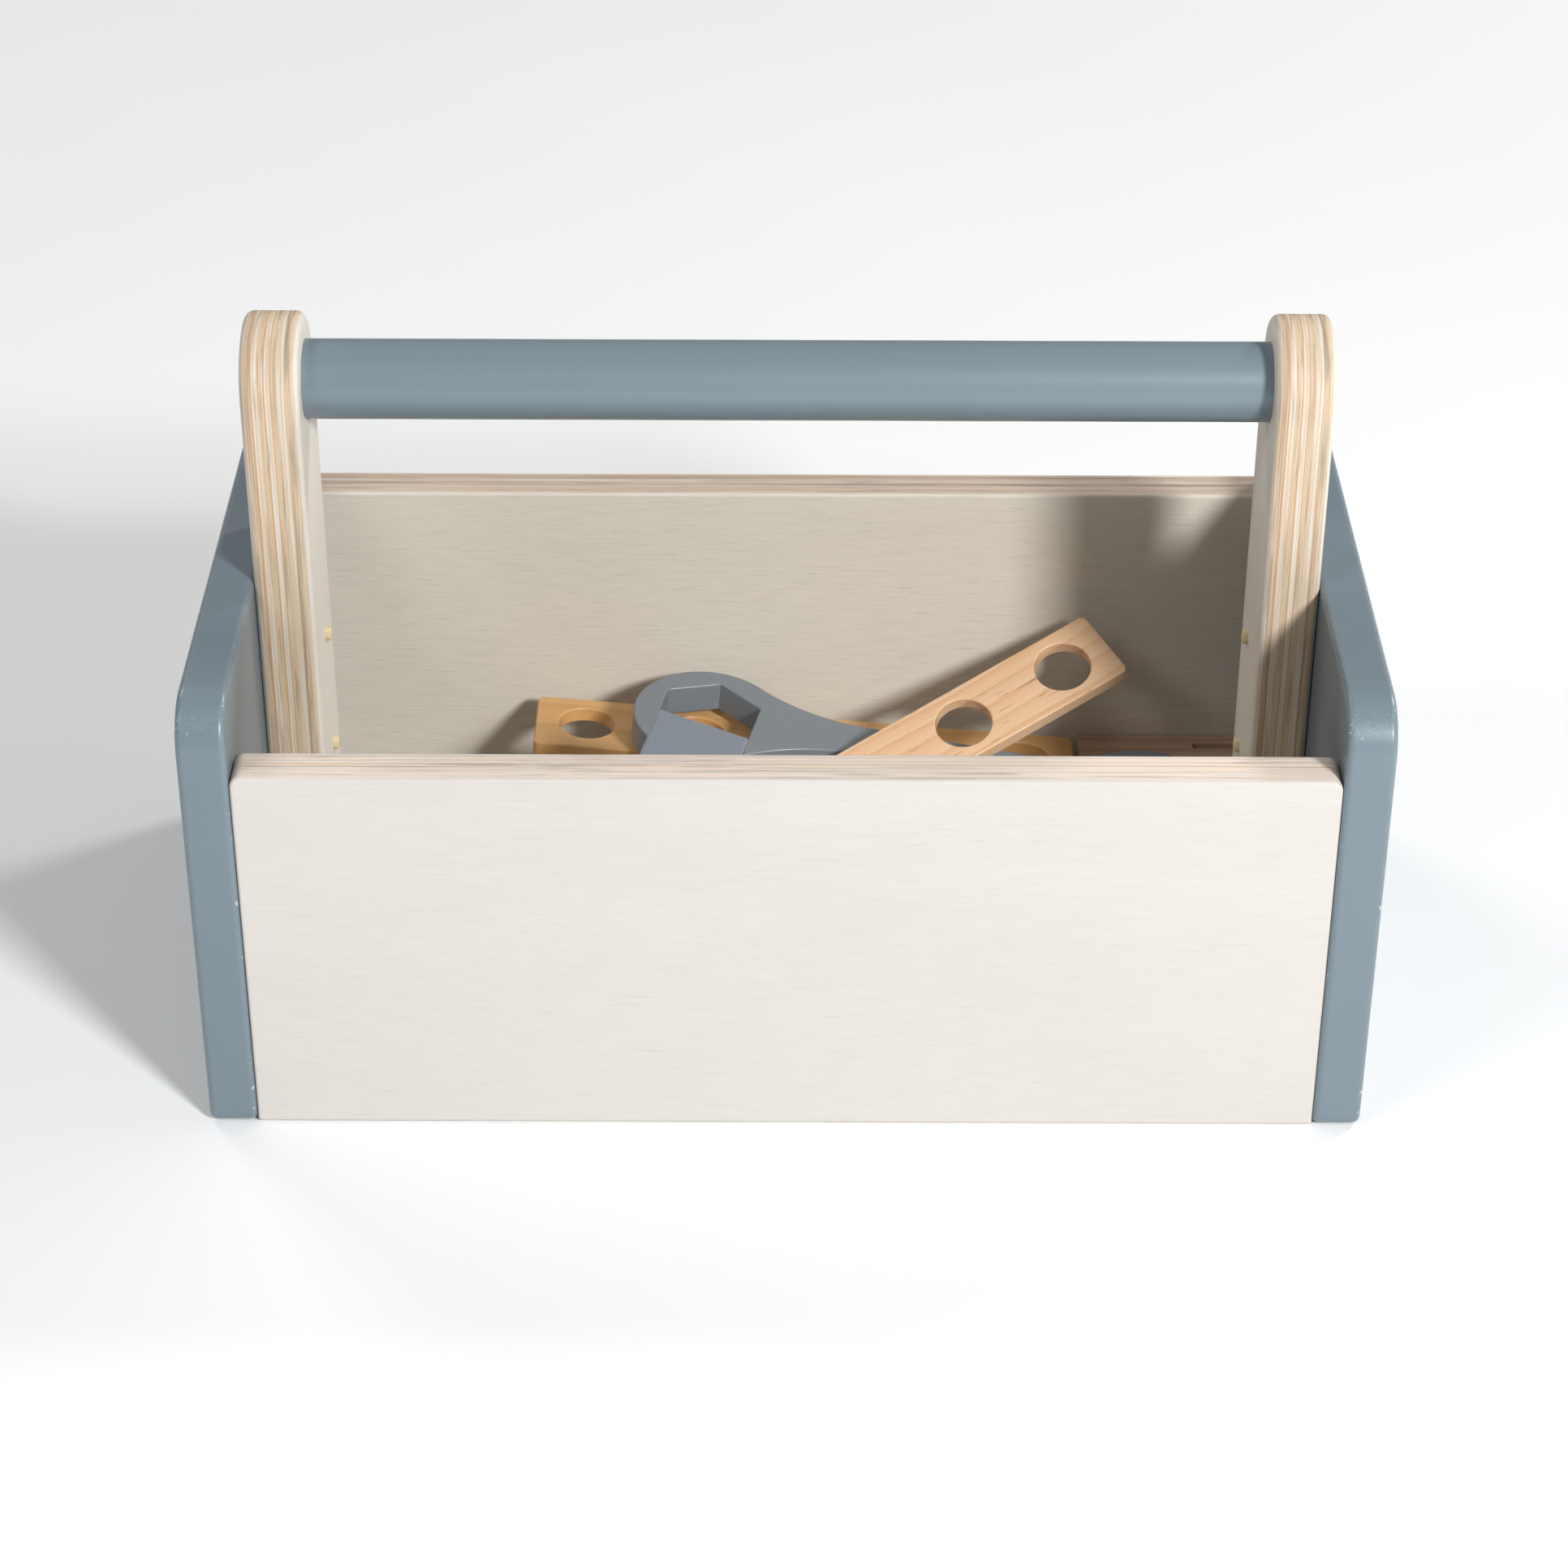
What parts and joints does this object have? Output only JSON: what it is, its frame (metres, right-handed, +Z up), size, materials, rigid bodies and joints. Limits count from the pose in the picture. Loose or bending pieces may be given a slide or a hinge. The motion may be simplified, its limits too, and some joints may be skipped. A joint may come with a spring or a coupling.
{
  "type": "toy toolbox",
  "caption": "Child's wooden toolbox: painted end boards, plywood sides, posts carrying a round rod handle, with loose wooden toy tools and holed strips inside.",
  "frame": {"origin": "centre of the footprint, on the surface the box stands on", "axes": "+X towards the right end panel, along the handle rod; +Y towards the back panel; +Z up"},
  "size_m": [0.3, 0.163, 0.1925],
  "materials": {
    "blue_paint": "satin grey-blue paint on wood",
    "light_paint": "satin lighter grey-blue paint on wood",
    "plywood": "bare sanded plywood with plies on its edges",
    "peg_wood": "bare beech dowel",
    "amber_wood": "satin varnish",
    "pine": "oiled pine",
    "beech": "bare beech"
  },
  "bodies": {
    "box": {"left_end_panel": "blue_paint", "right_end_panel": "blue_paint", "front_panel": "plywood", "back_panel": "plywood", "bottom_panel": "plywood", "left_upright": "plywood", "right_upright": "plywood", "handle_rod": "blue_paint", "left_upright_pins": "peg_wood", "right_upright_pins": "peg_wood", "front_panel_dowels": "peg_wood", "back_panel_dowels": "peg_wood", "bottom_panel_dowels": "peg_wood"},
    "bolt": {"hex_bolt": "beech"},
    "nut": {"hex_nut": "beech"},
    "long_strip": {"amber_strip": "amber_wood"},
    "ring_spanner": {"spanner": "blue_paint"},
    "short_strip": {"pine_strip": "pine"},
    "hammer": {"hammer_head": "light_paint", "hammer_handle": "pine"},
    "block": {"slotted_block": "beech"}
  },
  "joints": [
    {"name": "bolt_lift", "type": "slide", "parent": "box", "child": "bolt", "axis": [0, 0.0678, 0.9977], "range_m": [0, 0.185]},
    {"name": "nut_lift", "type": "slide", "parent": "bolt", "child": "nut", "axis": [0, 0.0678, 0.9977], "range_m": [0, 0.185]},
    {"name": "long_strip_lift", "type": "slide", "parent": "nut", "child": "long_strip", "axis": [0, 0.0678, 0.9977], "range_m": [0, 0.185]},
    {"name": "ring_spanner_lift", "type": "slide", "parent": "long_strip", "child": "ring_spanner", "axis": [0, 0.0678, 0.9977], "range_m": [0, 0.185]},
    {"name": "short_strip_lift", "type": "slide", "parent": "ring_spanner", "child": "short_strip", "axis": [0, 0.0678, 0.9977], "range_m": [0, 0.185]},
    {"name": "hammer_lift", "type": "slide", "parent": "box", "child": "hammer", "axis": [0, -0.1289, 0.9917], "range_m": [0, 0.185]},
    {"name": "block_lift", "type": "slide", "parent": "box", "child": "block", "axis": [0, 0, 1], "range_m": [0, 0.035]}
  ]
}
